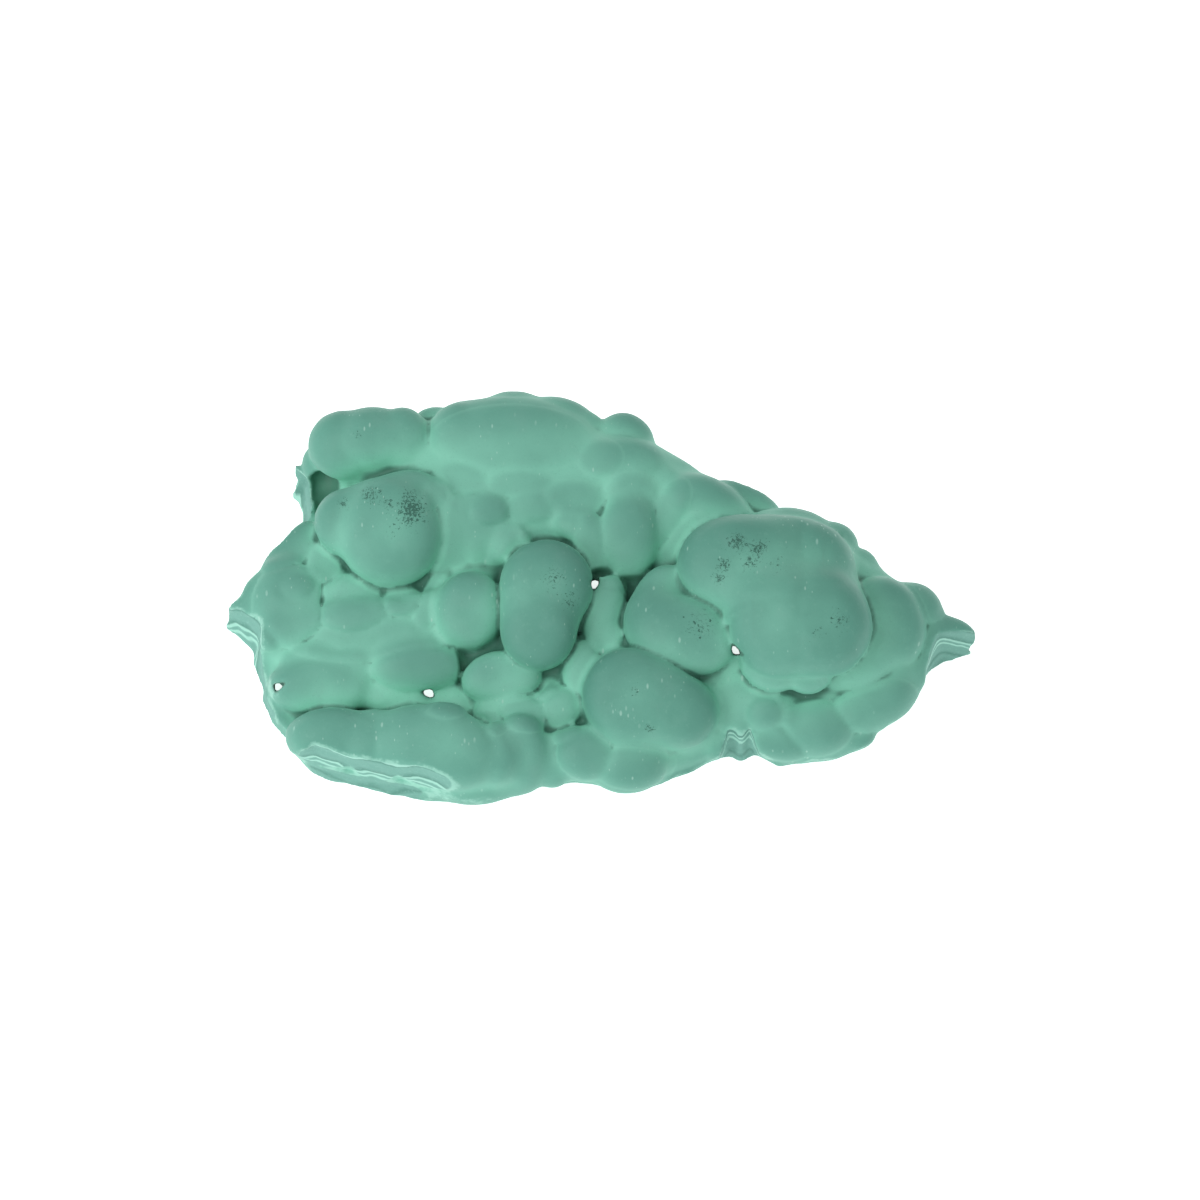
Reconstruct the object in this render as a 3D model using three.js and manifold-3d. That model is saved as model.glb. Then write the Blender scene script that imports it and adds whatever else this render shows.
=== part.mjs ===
import * as THREE from 'three';
import { mergeVertices } from 'three/addons/utils/BufferGeometryUtils.js';
import Module from 'manifold-3d';

// A hand-sized plate of botryoidal malachite, broken from a larger crust. Rounded lumps of
// every size crowd its upper side, a banded break runs round most of the rim, and it lies on
// a flat underside. Millimetres, +Z up, origin under the middle of the specimen.

// The lumps are laid out as an eye sees them from this high above the front edge.
const EYE_RISE = THREE.MathUtils.degToRad(62);
// Seen positions are measured in a plane through this height.
const EYE_LEVEL = 10;
// Moves the whole layout so that the origin is in the middle of its length and width.
const SHIFT_X = 0.05;
const SHIFT_Y = -1.18;
// Divided block that the crust is shaped from, and the size of its divisions.
const LENGTH = 129.2;
const WIDTH = 76;
const CELL = 1.9;
// Facets round a dome.
const DOME_SIDES = 14;
// The stem that carries a dome: its share of the dome's width, and how much lower it stands.
const STEM_SHARE = 0.88;
const STEM_DROP = 4.5;
// Height of the solid ground that every lump grows from.
const GROUND = 4.5;
// Taller than the highest crown, and how far the block reaches under the resting plane.
const ABOVE_ALL = 40;
const UNDER = 6;
// Depth over which two lumps ease into each other.
const CREASE = 1.2;
// Share of a lump's half width at which its round turns into a flank.
const FLANK = 0.95;
// Squareness of a dome's shoulders: 2 is a plain ball, more is flatter on top.
const SHOULDER = 2.8;
// How square the edge of a flat cushion is, and how steeply it ends.
const CUSHION_EDGE = 2.6;
const CUSHION_END = 0.6;
// Share of a lump's mean half width that it stands out towards the eye.
const FULL_DOME = 1.0;
const LUMP = 0.9;
const LOW_LUMP = 0.6;
const BED = 0.42;

// Each lump: across, up, height of its crown, half length, half width, turn in degrees.
const beds = [
  [-4, -1, 5.5, 52, 24, -10],
  [-7, 15, 15.6, 28, 14, -3],
  [-20, 22.5, 15.0, 22, 8, 0],
  [-53, -4.5, 8.2, 10, 10, 20],
  [-59.4, -3.8, 5.0, 5, 4, 0],
  [16, 11, 14.5, 9, 9, -30],
  [-43, 1, 9.2, 14, 9, 0],
  [-24, 4, 11.5, 9, 10, 0],
  [-38, -12.5, 7.0, 16, 7, 0],
  [-10, -14, 7.0, 16, 9, 0],
  [0, -2, 8.0, 9, 12, 0],
  [34, -2, 14.0, 20, 12, -15],
  [34, -17, 8.8, 15, 7, -4],
  [-6, -24, 6.0, 22, 5, 0],
  [-46, 21, 4.5, 4.5, 4.5, 0],
];
const tallDomes = [
  [23.0, 5.6, 24.5, 10.0, 8.3, 0],
  [34.2, 7.1, 22.2, 8.2, 6.0, -25],
  [37.0, -3.9, 24.3, 8.1, 8.4, 0],
  [28.5, -4.5, 23.5, 7.0, 8.6, 10],
  [32.5, -11.0, 18.0, 7.8, 4.6, -5],
  [14.2, -6.0, 19.0, 9.0, 6.8, -12],
  [9.2, -3.6, 17.4, 5.2, 6.0, 0],
  [11.2, 1.2, 17.0, 4.6, 4.6, 0],
  [4.7, -16.3, 16.6, 7.5, 8.3, 0],
  [12.2, -18.4, 14.6, 7.2, 6.2, -15],
  [8.8, -16.6, 15.4, 6.6, 6.6, -15],
  [-8.9, 2.2, 20.0, 7.8, 7.8, 0],
  [-10.2, -5.2, 18.2, 6.3, 6.6, 0],
  [-10.4, -1.4, 18.2, 6.0, 6.0, 0],
  [-21.5, -2.0, 15.5, 5.6, 6.5, -10],
  [-16.3, -13.0, 11.7, 6.8, 4.6, 8],
  [-35.0, 11.2, 20.0, 8.8, 9.6, 0],
  [-42.2, 12.8, 18.0, 5.4, 5.7, 10],
  [-31.4, 16.4, 18.6, 6.4, 5.2, -10],
  [-38.4, 15.6, 18.8, 5.4, 4.0, 15],
  [47.0, -4.3, 16.0, 7.2, 8.4, 15],
  [42.0, -10.4, 14.0, 8.2, 5.2, 20],
  [-44.2, -23.0, 12.4, 8.0, 5.1, -2],
  [-27.0, -24.6, 13.8, 11.2, 6.9, -14],
  [-36.8, -25.2, 12.2, 5.0, 5.4, -8],
];
const backRidge = [
  [-42.6, 25.9, 17.2, 6.3, 5.8, 0],
  [-38.0, 26.8, 18.3, 7.5, 5.6, 0],
  [-33.5, 27.2, 16.8, 5.4, 4.8, 0],
  [-14.2, 27.5, 19.8, 14.2, 6.6, -2],
  [-21.7, 28.8, 17.4, 6.4, 4.6, 0],
  [-14.4, 30.6, 17.6, 6.2, 4.1, 0],
  [-7.0, 29.4, 17.8, 6.6, 4.3, -12],
  [-2.8, 28.4, 16.4, 3.7, 3.2, 0],
  [4.0, 26.0, 16.3, 5.5, 5.5, 0],
  [-46.2, 23.2, 11.0, 3.8, 3.4, 30],
  [4.2, 21.7, 18.6, 7.5, 5.6, 0],
  [10.8, 18.8, 16.6, 4.6, 4.0, -30],
  [18.2, 15.5, 17.7, 8.2, 4.7, -28],
  [24.2, 15.9, 13.3, 6.8, 3.7, -26],
  [32.2, 10.8, 16.9, 7.8, 4.5, -10],
  [38.6, 8.7, 15.3, 4.5, 4.3, 0],
  [42.8, 5.0, 13.3, 3.5, 3.7, -40],
  [-26.7, 29.4, 14.6, 5.0, 3.2, 0],
];
// Lumps low on the far side, under the ridge.
const backFoot = [
  [-40.0, 22.0, 10.5, 8.5, 6.0, 0],
  [-24.0, 23.5, 10.5, 9.0, 6.5, 0],
  [-8.0, 24.5, 11.0, 9.5, 6.5, 0],
  [6.0, 20.0, 10.0, 7.5, 6.5, -20],
  [17.0, 13.5, 10.0, 8.0, 6.0, -28],
  [28.0, 8.5, 10.0, 8.0, 5.5, -25],
  [38.0, 4.0, 9.5, 7.0, 5.5, -30],
  [47.0, -2.0, 9.0, 6.0, 5.0, -35],
];
const rightSide = [
  [51.7, -2.6, 12.5, 5.3, 4.9, -35],
  [56.4, -6.0, 9.4, 3.4, 3.4, 0],
  [58.5, -6.4, 9.4, 3.9, 3.4, -24],
  [55.0, -8.8, 10.0, 4.4, 5.0, -20],
  [47.0, -14.2, 10.6, 5.6, 6.0, -35],
  [51.0, -12.5, 9.3, 3.2, 3.4, 0],
  [41.5, -17.3, 8.8, 5.6, 4.0, -12],
  [36.5, -16.2, 8.6, 1.8, 1.7, 0],
  [36.7, -20.8, 9.0, 6.0, 5.0, 0],
  [42.0, -22.3, 6.4, 3.8, 2.8, -15],
  [34.5, -23.2, 6.0, 7.5, 4.0, -3],
  [27.0, -17.3, 11.0, 8.0, 6.0, -10],
  [28.5, -18.3, 11.6, 3.4, 3.2, 0],
  [29.0, -23.0, 7.6, 7.0, 3.8, -8],
  [21.4, -20.6, 7.4, 4.6, 3.8, 20],
];
const frontEdge = [
  [-2.5, -25.6, 10.0, 5.4, 4.6, 0],
  [4.2, -26.8, 9.4, 6.4, 4.9, 0],
  [10.6, -25.2, 6.4, 5.4, 4.0, 22],
  [14.6, -24.2, 5.8, 5.2, 3.6, 25],
  [-13.0, -25.5, 10.6, 4.8, 5.9, 10],
  [-8.0, -26.6, 8.4, 4.0, 4.6, 0],
  [-26.2, -20.5, 14.6, 4.8, 3.2, -5],
  [-21.9, -29.9, 7.4, 8.0, 4.1, -5],
  [-17.0, -26.0, 11.6, 4.6, 5.0, 0],
  [-14.5, -28.4, 7.4, 5.4, 4.2, 8],
];
const valley = [
  [-46.5, -14.3, 10.0, 9.0, 5.0, 0],
  [-41.3, -12.0, 9.6, 4.6, 3.4, 0],
  [-42.8, -15.8, 9.0, 4.0, 2.8, 10],
  [-48.3, -10.4, 9.4, 5.0, 2.8, 0],
  [-31.0, -11.3, 10.7, 8.2, 4.8, 3],
  [-34.2, -16.5, 7.8, 6.8, 3.2, -5],
  [-25.5, -15.7, 6.9, 3.0, 2.2, 30],
  [-14.2, -18.7, 8.8, 7.0, 3.8, -10],
  [-22.5, -17.5, 6.7, 2.8, 2.4, 0],
  [-6.2, -18.2, 9.2, 4.2, 3.7, 0],
  [-7.8, -13.3, 8.4, 3.4, 3.0, 0],
  [0.0, -3.4, 12.0, 4.4, 8.0, -12],
  [-2.8, -13.0, 10.6, 4.2, 6.0, -5],
  [20.0, -13.8, 11.5, 4.2, 3.4, -35],
  [4.4, -8.4, 11.6, 3.2, 3.2, 0],
  [22.8, -11.6, 13.0, 2.8, 2.6, 0],
];
const leftShelf = [
  [-40.5, -0.2, 10.7, 5.2, 4.6, 0],
  [-45.7, 5.3, 10.7, 3.3, 4.2, 10],
  [-52.0, -0.4, 10.6, 7.4, 6.6, 20],
  [-51.2, 0.9, 11.4, 4.4, 4.2, 0],
  [-56.4, -2.4, 9.0, 3.4, 3.0, 0],
  [-51.0, 7.6, 9.4, 6.8, 4.8, 35],
  [-33.7, -0.5, 10.6, 4.4, 3.6, 0],
  [-37.0, -5.0, 11.6, 13.0, 4.9, -2],
  [-28.7, -3.7, 11.2, 4.2, 4.6, 0],
  [-50.0, -6.6, 9.3, 7.6, 4.4, -10],
];
const plateau = [
  [-20.8, 12.5, 15.9, 6.6, 5.6, 0],
  [-27.4, 12.6, 16.6, 4.6, 7.0, 0],
  [-18.6, 14.5, 16.4, 3.4, 3.2, 0],
  [-10.5, 15.5, 16.7, 4.4, 3.7, 0],
  [-4.2, 17.0, 16.8, 4.8, 3.0, -5],
  [-5.3, 12.8, 16.2, 2.2, 2.2, 0],
  [0.0, 22.7, 17.2, 2.8, 2.8, 0],
  [5.0, 17.2, 16.9, 3.9, 3.8, 0],
  [4.7, 10.0, 16.0, 4.9, 6.8, 0],
  [-1.7, 9.2, 15.4, 3.4, 5.8, 10],
  [-15.0, 9.2, 15.2, 2.8, 3.4, -30],
  [-23.0, 20.8, 14.6, 4.2, 3.0, -10],
];

// Thin lip of broken crust at the back left, and the hollow scooped behind it.
const lip = [
  [-49.9, 20.4, 7.2, 2.8, 1.6, -42],
  [-48.6, 17.6, 7.0, 3.2, 1.6, -68],
  [-48.8, 14.7, 7.0, 3.0, 1.5, 48],
];
const hollows = [
  [-46.4, 19.6, 10.4, 2.6, 3.8, -12],
  [-46.4, 16.4, 9.4, 1.8, 2.2, 0],
];

// Flat cushions that swell a little out of the skin: across, up, swell, half length, half width,
// turn in degrees.
const cushions = [
  [-23.3, 20.3, 0.5, 4.8, 3.0, -10], [-21.3, 12.5, 0.6, 6.7, 6.7, 0],
  [-18.8, 14.7, 0.9, 3.9, 3.3, 0], [-11.2, 15.2, 0.4, 4.9, 4.0, 0],
  [-4.7, 16.7, 0.5, 5.9, 3.4, -3], [-5.3, 12.5, 0.4, 2.8, 2.5, 0], [-1.7, 10.0, 0.5, 3.1, 5.7, 6],
  [5.0, 11.7, 0.8, 5.2, 8.3, 0], [5.3, 17.2, 0.4, 4.8, 4.3, 0], [0.0, 23.8, 0.4, 3.9, 3.4, 0],
  [-17.2, 9.2, 0.4, 2.8, 4.0, -35], [-26.7, 5.0, 0.4, 2.1, 1.7, 0],
  [-52.0, 8.7, 0.9, 5.9, 3.6, 40], [-45.8, 6.3, 0.9, 3.3, 4.3, 5],
  [-51.7, -0.8, 1.4, 6.4, 7.3, 0], [-50.8, 1.7, 1.5, 4.3, 3.6, 0],
  [-41.3, -0.8, 1.2, 6.6, 5.9, 0], [-33.3, 0.0, 1.1, 4.0, 2.9, 0],
  [-28.3, -0.8, 0.8, 2.3, 6.9, -20], [-37.5, -6.7, 0.8, 14.8, 3.6, 3],
  [-30.0, -11.3, 1.1, 8.3, 4.0, 3], [-12.5, -18.7, 0.8, 5.2, 3.2, -10],
  [-6.7, -18.0, 1.1, 3.8, 3.8, 0], [-2.8, -10.8, 1.1, 3.6, 5.2, -5],
  [0.7, -3.3, 1.4, 4.0, 6.4, -8], [-9.2, -15.0, 0.7, 3.0, 2.3, 0], [1.7, 2.5, 0.7, 2.9, 1.7, 0],
  [-11.7, -24.2, 0.8, 2.9, 3.6, 0], [-2.0, -25.3, 1.1, 5.3, 4.8, 0],
  [5.6, -26.8, 0.8, 7.2, 4.8, 3], [-25.8, -18.3, 0.8, 4.3, 1.7, 0], [53.3, 0.0, 0.8, 5.0, 4.3, 0],
  [24.2, -17.5, 0.8, 6.4, 5.5, 0], [26.7, -18.7, 1.1, 3.6, 3.6, 0],
  [35.8, -21.3, 1.1, 6.3, 4.8, 0], [45.8, -17.5, 1.1, 7.6, 4.3, 15],
  [-24.0, 8.5, 0.4, 3.2, 5.2, -30], [-13.5, 19.5, 0.4, 6.0, 2.6, 0],
  [-9.5, 11.0, 0.4, 4.0, 3.0, 0], [-55.6, -5.2, 0.8, 3.6, 3.4, -30],
  [-18.6, -20.2, 0.7, 3.4, 2.2, -20], [2.8, -22.6, 0.7, 3.4, 2.2, -25],
  [-5.0, -22.4, 0.7, 3.0, 1.8, 10], [30.6, -23.6, 0.8, 5.0, 3.2, -8],
  [11.0, 14.2, 0.4, 3.0, 7.0, -28], [13.6, 8.6, 0.4, 3.4, 7.0, -32],
  [-14.8, 26.8, 0.5, 13.8, 6.0, 0],
];

// The break round the rim: across, up, and the height at which its edge is seen there.
// Where the rounded skin itself reaches the edge, the break lies just outside it.
const rim = [
  [-62.6, -3.7, 3], [-60.2, -2.0, 4], [-58.9, 1.4, 7], [-56.7, 4.5, 9], [-55.5, 6.9, 9],
  [-52.7, 9.7, 9], [-49.4, 12.8, 8], [-49.0, 16.0, 4], [-49.4, 18.2, 3], [-51.2, 20.0, 3],
  [-51.0, 22.5, 5], [-49.9, 25.3, 8], [-47.5, 28.8, 12], [-43.0, 32.0, 14], [-30.0, 31.9, 13],
  [-22.0, 33.3, 14], [-14.7, 34.7, 14], [-5.0, 33.3, 14], [0.0, 30.4, 13], [3.5, 31.8, 12],
  [8.3, 28.9, 12], [10.2, 25.3, 12], [16.2, 21.5, 12], [30.0, 15.6, 10], [37.0, 14.0, 11],
  [42.5, 9.8, 10], [46.3, 5.5, 9], [52.0, 3.0, 8], [57.3, -2.2, 6], [59.7, -3.8, 5],
  [61.7, -5.2, 4], [62.5, -6.9, 2], [61.2, -9.2, 0], [57.6, -10.3, 0.5], [55.2, -11.7, 1],
  [53.4, -14.4, 2], [52.4, -17.1, 2], [49.6, -20.5, 1.5], [46.6, -21.7, 1], [44.8, -23.8, 0.5],
  [42.7, -25.1, 0], [39.7, -26.5, 0], [35.3, -26.8, 0], [31.0, -27.8, 0], [26.2, -25.7, 0],
  [23.5, -26.9, 0], [21.5, -26.1, 0], [18.0, -27.1, 0], [15.0, -28.7, 0], [11.5, -30.1, 0],
  [8.0, -31.6, 0], [4.0, -33.4, 0], [0.0, -34.0, 0], [-4.2, -33.6, 0], [-9.2, -34.2, 0],
  [-15.8, -34.9, 0], [-21.7, -35.4, 0], [-26.0, -34.2, 0], [-30.0, -33.0, 0], [-33.0, -32.4, 0],
  [-36.7, -31.8, 0], [-43.0, -30.3, 0], [-46.4, -29.4, 0], [-48.8, -27.5, 0.4],
  [-50.7, -25.4, 1.5], [-52.4, -23.3, 3], [-54.3, -20.2, 1.5], [-56.0, -17.4, 0],
  [-56.0, -15.0, 0], [-57.5, -10.7, 0], [-57.7, -8.7, 0], [-60.3, -6.2, 0],
];

// The solid ground in plan, drawn in under the lumps: x, y.
const ground = [
  [-65, 0], [-56, 6], [-49, 12], [-50, 20], [-46, 26], [-36, 30], [-14, 33], [-2, 31], [6, 27],
  [18, 19], [34, 11], [47, 1], [57, -3], [62.5, -5.5], [60, -8.2], [56, -8.6], [51, -12],
  [44, -18], [40, -20], [31, -26], [24, -29], [16, -28.2], [8, -30.2], [3, -30.4], [-4, -29.5],
  [-16, -30.5], [-24, -32.0], [-31, -32.0], [-36, -34], [-42, -34], [-47, -29.5], [-51.5, -22],
  [-58, -15], [-62, -10],
];

// Little gaps that go right through between lumps: across, up, radius.
const gaps = [
  [-0.9, 2.6, 0.7],
  [22.7, -8.3, 0.7],
  [-28.5, -15.6, 0.8],
  [-53.5, -14.4, 0.8],
];

const wasm = await Module();
wasm.setup();

const across = new THREE.Vector3(1, 0, 0);
const seenUp = new THREE.Vector3(0, Math.sin(EYE_RISE), Math.cos(EYE_RISE));
const toEye = new THREE.Vector3(0, -Math.cos(EYE_RISE), Math.sin(EYE_RISE));

// Where a point seen at (right, up) lies when its height is known.
function placed(right, up, height) {
  const back = (up - (height - EYE_LEVEL) * Math.cos(EYE_RISE)) / Math.sin(EYE_RISE);
  return new THREE.Vector3(right + SHIFT_X, back + SHIFT_Y, height);
}

function solid(geometry) {
  const bare = geometry.clone();
  bare.deleteAttribute('normal');
  bare.deleteAttribute('uv');
  const merged = mergeVertices(bare, 1e-4);
  return new wasm.Manifold(new wasm.Mesh({
    numProp: 3,
    vertProperties: new Float32Array(merged.attributes.position.array),
    triVerts: new Uint32Array(merged.index.array),
  }));
}

// A lump as an ellipsoid facing the eye, with its crown at the given height.
function lump([right, up, crown, halfLength, halfWidth, turn], fullness) {
  const size = Math.sqrt(halfLength * halfWidth);
  const depth = Math.min(fullness * size, 1.15 * Math.min(halfLength, halfWidth));
  const frame = new THREE.Matrix4().makeBasis(across, seenUp, toEye);
  frame.multiply(new THREE.Matrix4().makeRotationZ(THREE.MathUtils.degToRad(turn)));
  frame.scale(new THREE.Vector3(halfLength, halfWidth, depth));
  frame.setPosition(placed(right, up, crown - depth * Math.sin(EYE_RISE)));
  const outward = frame.clone();
  const inward = frame.invert();
  const rise = new THREE.Vector3(0, 0, 1).transformDirection(inward);
  rise.multiplyScalar(new THREE.Vector3().setFromMatrixColumn(inward, 2).length());
  return { outward, inward, rise };
}

// Height of one lump over the point x, y. Low on its side the round turns into a steep flank.
function heightOver({ inward, rise }, x, y) {
  const foot = new THREE.Vector3(x, y, 0).applyMatrix4(inward);
  const along = foot.dot(rise) / rise.lengthSq();
  const off = foot.addScaledVector(rise, -along).length();
  const shoulder = Math.sqrt(1 - FLANK * FLANK);
  const flank = shoulder - (off - FLANK) * FLANK / shoulder;
  const bulge = off < FLANK ? Math.sqrt(1 - off * off) : flank;
  return bulge / rise.length() - along;
}

// How far the cushions swell out of the skin at one of its points.
function swellAt(x, y, height) {
  const up = (y - SHIFT_Y) * Math.sin(EYE_RISE) + (height - EYE_LEVEL) * Math.cos(EYE_RISE);
  const seen = new THREE.Vector2(x - SHIFT_X, up);
  const swells = cushions.map(([right, top, swell, halfLength, halfWidth, turn]) => {
    const middle = new THREE.Vector2(right, top);
    const off = seen.clone().rotateAround(middle, -THREE.MathUtils.degToRad(turn)).sub(middle);
    const share = Math.min(Math.hypot(off.x / halfLength, off.y / halfWidth), 1);
    return swell * (1 - share ** CUSHION_EDGE) ** CUSHION_END;
  });
  return Math.max(...swells);
}

// A ball drawn out to a lump, with its shoulders squared.
function ball({ outward }, shoulder) {
  const round = new THREE.SphereGeometry(1, DOME_SIDES, DOME_SIDES / 2);
  round.rotateX(Math.PI / 2);
  const points = round.attributes.position;
  const point = new THREE.Vector3();
  for (let i = 0; i < points.count; i += 1) {
    point.fromBufferAttribute(points, i);
    const flat = Math.hypot(point.x, point.y);
    const out = Math.abs(point.z);
    point.divideScalar((flat ** shoulder + out ** shoulder) ** (1 / shoulder));
    points.setXYZ(i, point.x, point.y, point.z);
  }
  round.applyMatrix4(outward);
  return solid(round);
}

// The higher of two heights, with the crease between them eased.
function eased(a, b) {
  const near = Math.max(CREASE - Math.abs(a - b), 0) / CREASE;
  return Math.max(a, b) + near * near * CREASE * 0.25;
}

// An upright block on a smooth closed outline, standing on the resting plane.
function block(points, height, steps) {
  const curve = new THREE.CatmullRomCurve3(points, true, 'catmullrom', 0.4);
  const outline = curve.getPoints(steps).slice(0, steps);
  const shape = new THREE.Shape(outline.map((p) => new THREE.Vector2(p.x, p.y)));
  return solid(new THREE.ExtrudeGeometry(shape, { depth: height, bevelEnabled: false }));
}

const stems = tallDomes.map(([right, up, crown, halfLength, halfWidth, turn]) => [
  right, up - 1, crown - STEM_DROP, halfLength * STEM_SHARE, halfWidth * STEM_SHARE, turn,
]);

// A finely divided block whose upper face is raised to the lumps.
const crowds = [
  [beds, BED],
  [backFoot, LUMP],
  [stems, FULL_DOME],
  [backRidge, LUMP],
  [rightSide, LUMP],
  [frontEdge, LUMP],
  [valley, LUMP],
  [lip, LUMP],
  [leftShelf, LOW_LUMP],
  [plateau, LOW_LUMP],
];
const lumps = crowds.flatMap(([rows, fullness]) => rows.map((row) => lump(row, fullness)));
const crust = new THREE.BoxGeometry(LENGTH, WIDTH, 2, LENGTH / CELL, WIDTH / CELL, 1);
const spots = crust.attributes.position;
for (let i = 0; i < spots.count; i += 1) {
  if (spots.getZ(i) > 0) {
    const x = spots.getX(i);
    const y = spots.getY(i);
    const height = lumps.reduce((top, one) => eased(top, heightOver(one, x, y)), -UNDER);
    spots.setZ(i, Math.max(height + swellAt(x, y, height), -UNDER));
  } else {
    spots.setZ(i, -UNDER - 2);
  }
}
let stone = solid(crust);

const groundPoints = ground.map(([x, y]) => new THREE.Vector3(x + SHIFT_X, y + SHIFT_Y, 0));
stone = stone.add(block(groundPoints, GROUND, 66));

for (const row of hollows) {
  stone = stone.subtract(ball(lump(row, LUMP), 2));
}

for (const row of tallDomes) {
  stone = stone.add(ball(lump(row, FULL_DOME), SHOULDER));
}

// The broken rim and the flat underside.
const rimPoints = rim.map(([right, up, height]) => placed(right, up, height).setZ(0));
stone = stone.intersect(block(rimPoints, ABOVE_ALL, 170));

for (const [right, up, radius] of gaps) {
  const bore = new THREE.CylinderGeometry(radius, radius, 90, 8);
  bore.rotateX(-EYE_RISE);
  const middle = placed(right, up, EYE_LEVEL);
  bore.translate(middle.x, middle.y, middle.z);
  stone = stone.subtract(solid(bore));
}

const shaped = stone.getMesh();
const geometry = new THREE.BufferGeometry();
geometry.setAttribute('position', new THREE.BufferAttribute(shaped.vertProperties, 3));
geometry.setIndex(new THREE.BufferAttribute(shaped.triVerts, 1));
geometry.computeVertexNormals();

const malachiteGreen = new THREE.MeshStandardMaterial({
  color: 0x6eae9a,
  roughness: 0.6,
  metalness: 0,
});

const malachite = new THREE.Mesh(geometry, malachiteGreen);
malachite.name = 'malachite';

const specimen = new THREE.Group();
specimen.add(malachite);

export default specimen;
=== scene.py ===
import math

import bpy
import numpy as np
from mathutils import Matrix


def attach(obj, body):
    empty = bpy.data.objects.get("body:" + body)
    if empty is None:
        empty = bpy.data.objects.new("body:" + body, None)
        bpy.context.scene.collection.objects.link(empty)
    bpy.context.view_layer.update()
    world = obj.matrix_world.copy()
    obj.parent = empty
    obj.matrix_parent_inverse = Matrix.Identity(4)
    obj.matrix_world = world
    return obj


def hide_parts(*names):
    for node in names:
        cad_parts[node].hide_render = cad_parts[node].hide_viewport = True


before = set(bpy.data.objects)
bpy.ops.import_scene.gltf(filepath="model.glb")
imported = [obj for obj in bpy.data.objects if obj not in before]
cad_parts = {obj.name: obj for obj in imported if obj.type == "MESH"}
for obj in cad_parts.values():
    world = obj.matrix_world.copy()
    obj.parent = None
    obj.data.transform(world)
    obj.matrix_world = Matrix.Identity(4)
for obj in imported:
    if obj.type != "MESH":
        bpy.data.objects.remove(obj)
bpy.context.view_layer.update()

MM = 0.001

# The specimen is laid out in millimetres as seen by an eye this high above its front edge,
# which looks at a point at this level.
EYE_RISE = math.radians(62)
EYE_LEVEL = 10.0
# How far away the camera stands, in metres.
EYE_AWAY = 2.5
# What brings the middle of its length and width to the origin.
SHIFT_X = 0.05
SHIFT_Y = -1.18
# Height of the flat ground under the lumps, and how far it dips at the front right and left tip.
GROUND = 4.5
FRONT_DIP = 2.6
TIP_DIP = 2.2
# Each tall dome stands on a stem this much narrower and lower.
STEM_SHARE = 0.88
STEM_DROP = 4.5
# How far the break leans back for each millimetre of height, and how far it is tucked under.
LEFT_LEAN = 0.18
LIP_LEAN = 0.36
LIP_OUT = 0.9
NOTCH_LEAN = 0.10
FAN_LEAN = 0.24
TUCK = 0.38
# Unevenness of the break, the underside and the skin: strength, size, seed.
BREAK_GRAIN = [(0.25, 4.1, 5), (0.10, 1.5, 6)]
UNDER_GRAIN = [(1.0, 7.0, 8), (0.6, 2.2, 9)]
SKIN_GRAIN = [(0.10, 4.0, 11), (0.05, 1.6, 12)]

CUBE_CORNERS = [(i, j, k) for i in (0, 1) for j in (0, 1) for k in (0, 1)]
SEEN_UP = np.array([0.0, math.sin(EYE_RISE), math.cos(EYE_RISE)])
TO_EYE = np.array([0.0, -math.cos(EYE_RISE), math.sin(EYE_RISE)])

# Rows: across, up, height of the crown, half length, half width, turn in degrees.
BEDS = [
    [-4, -1, 5.5, 52, 24, -10],
    [-7, 15, 15.6, 28, 14, -3],
    [-20, 22.5, 15.0, 22, 8, 0],
    [-53, -4.5, 8.2, 10, 10, 20],
    [-59.4, -4.2, 3.6, 5, 4, 0],
    [16, 11, 14.5, 9, 9, -30],
    [-43, 1, 9.2, 14, 9, 0],
    [-24, 4, 11.5, 9, 10, 0],
    [-38, -12.5, 7.0, 16, 7, 0],
    [-10, -14, 7.0, 16, 9, 0],
    [0, -2, 8.0, 9, 12, 0],
    [34, -2, 14.0, 20, 12, -15],
    [34, -17, 9.4, 15, 7, -4],
    [-6, -24, 6.0, 22, 5, 0],
    [-46, 21, 4.5, 4.5, 4.5, 0],
]
BIG_DOME = [
    [23.0, 5.6, 24.5, 10.0, 8.3, 0],
    [34.2, 7.1, 22.2, 8.2, 6.0, -25],
    [37.0, -4.0, 24.0, 8.1, 8.5, 0],
    [28.8, -4.3, 23.4, 7.0, 8.4, 10],
]
DOME_LEDGE = [
    [28.4, -11.6, 16.6, 5.0, 3.6, -15],
    [34.4, -12.0, 16.2, 4.0, 3.6, 0],
]
DOME_BESIDE = [
    [14.2, -6.0, 19.0, 9.0, 6.8, -12],
    [9.2, -3.6, 17.4, 5.2, 6.0, 0],
    [11.2, 1.2, 17.0, 4.6, 4.6, 0],
]
TWIN_DOMES = [
    [4.7, -16.3, 16.6, 7.5, 8.3, 0],
    [12.2, -18.4, 14.6, 7.2, 6.2, -15],
    [8.8, -16.6, 15.4, 6.6, 6.6, -15],
]
MIDDLE_DOME = [
    [-8.9, 2.2, 20.0, 7.8, 7.8, 0],
    [-10.2, -5.2, 18.2, 6.3, 6.6, 0],
    [-10.4, -1.4, 18.2, 6.0, 6.0, 0],
]
SMALL_DOMES = [
    [-16.3, -13.0, 11.7, 6.8, 4.6, 8],
]
SOFT_DOME = [
    [-21.7, -1.8, 15.3, 5.9, 6.6, -10],
]
LEFT_DOME = [
    [-35.0, 11.2, 20.0, 8.8, 9.6, 0],
    [-42.2, 12.8, 18.0, 5.4, 5.7, 10],
    [-31.4, 16.4, 18.6, 6.4, 5.2, -10],
    [-38.4, 15.6, 18.8, 5.4, 4.0, 15],
]
RIGHT_DOMES = [
    [47.0, -4.3, 16.0, 7.2, 8.4, 15],
    [42.0, -10.4, 14.0, 8.2, 5.2, 20],
]
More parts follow.
